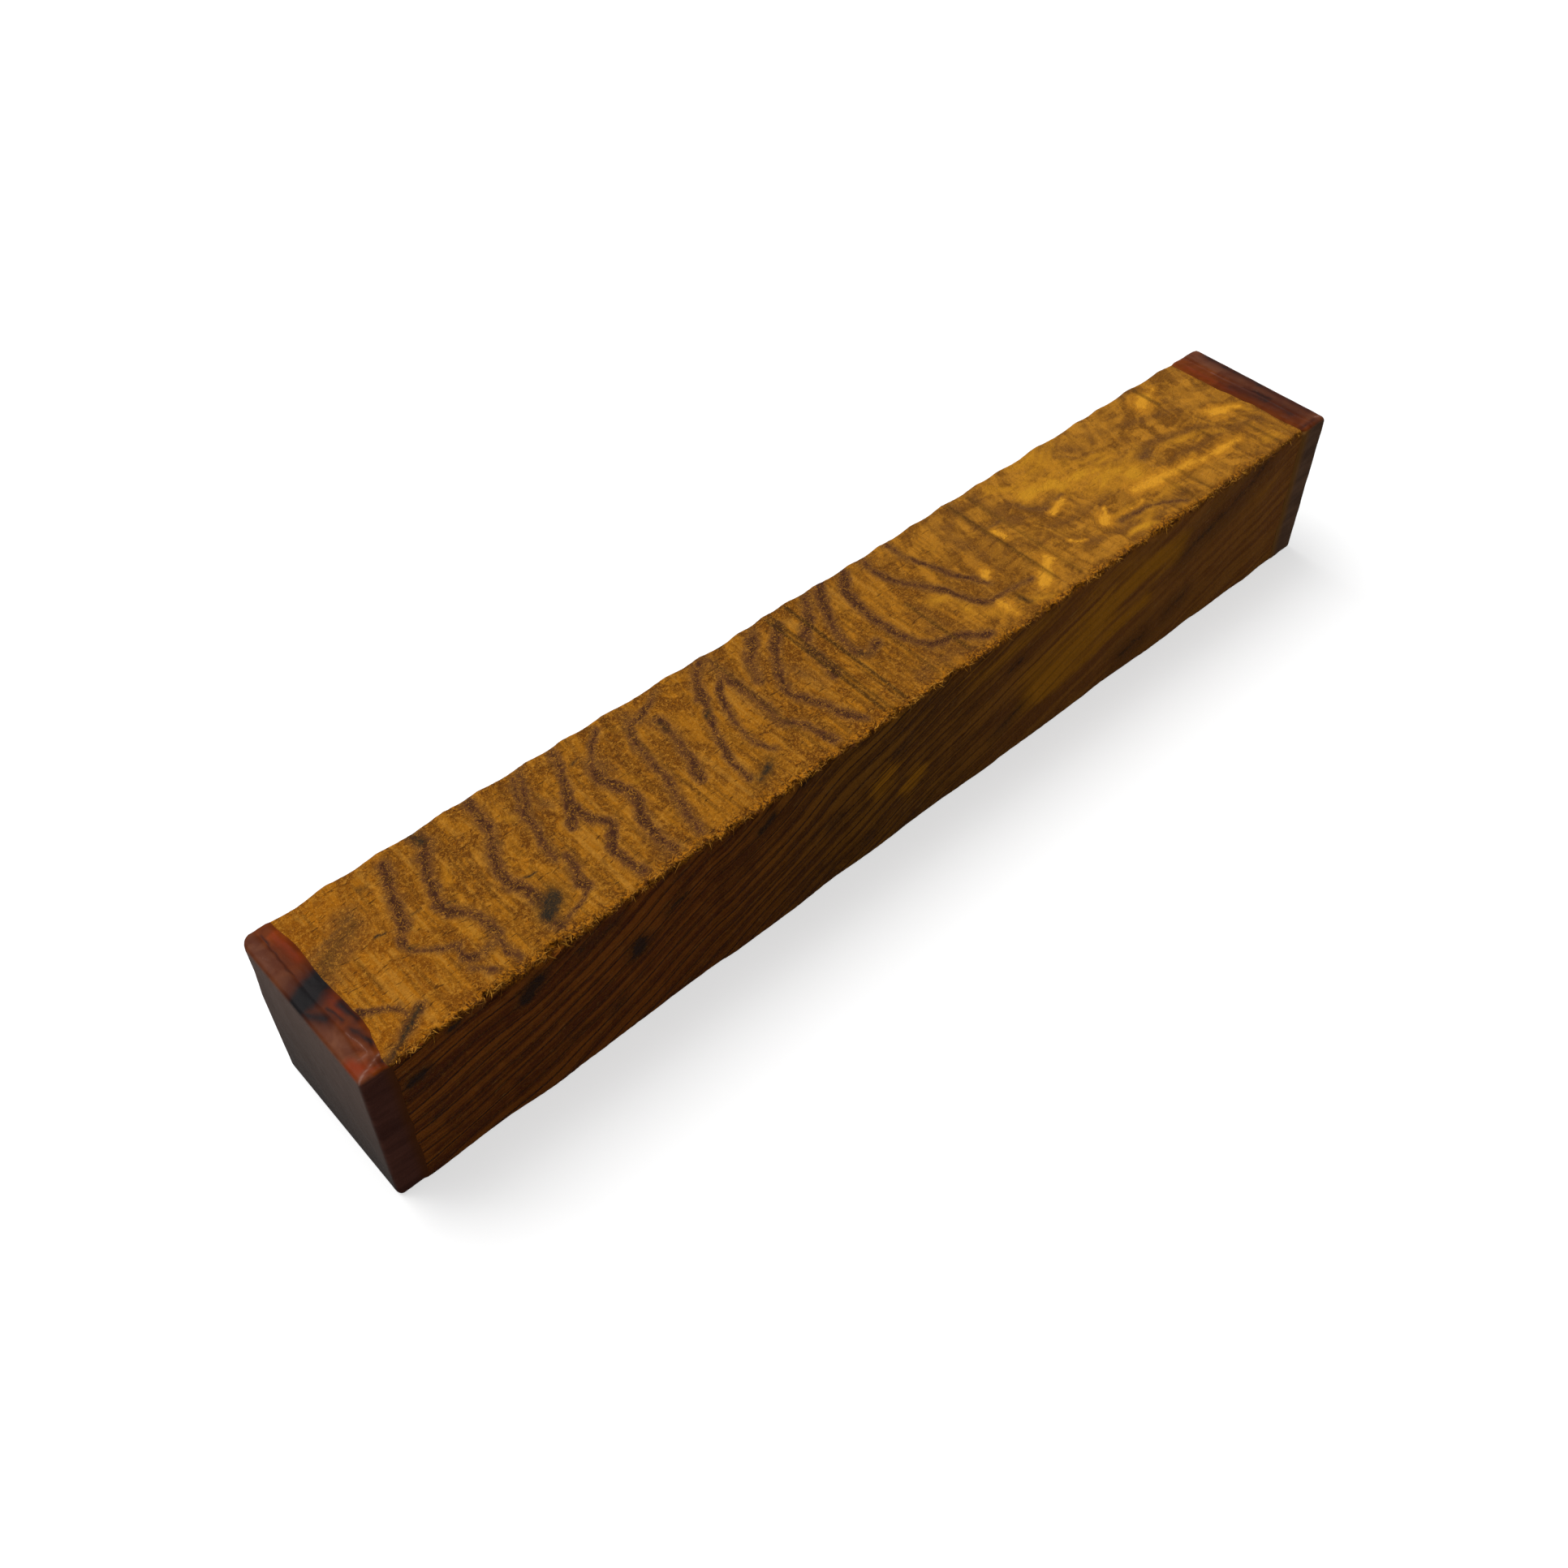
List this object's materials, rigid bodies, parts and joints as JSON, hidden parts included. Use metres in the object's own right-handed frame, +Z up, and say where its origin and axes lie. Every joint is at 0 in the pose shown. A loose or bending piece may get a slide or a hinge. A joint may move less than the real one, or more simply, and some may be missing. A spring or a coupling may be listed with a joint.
{
  "type": "wood turning blank",
  "caption": "Rough-sawn square blank of figured burl wood with both ends sealed in clear wax, for turning a pen or a small handle.",
  "frame": {"origin": "middle of the underside the blank lies on, halfway along its length", "axes": "+X along the blank, with the grain, from the shorter waxed end to the longer one; +Y towards the back face; +Z up, out of the light top face"},
  "size_m": [0.132, 0.0188, 0.0193],
  "materials": {
    "burl_wood": "rough sawn, matt",
    "clear_wax": "thin satin wax over red-brown wood"
  },
  "bodies": {
    "root": {"wood_blank": "burl_wood", "left_wax_seal": "clear_wax", "right_wax_seal": "clear_wax"}
  },
  "joints": []
}
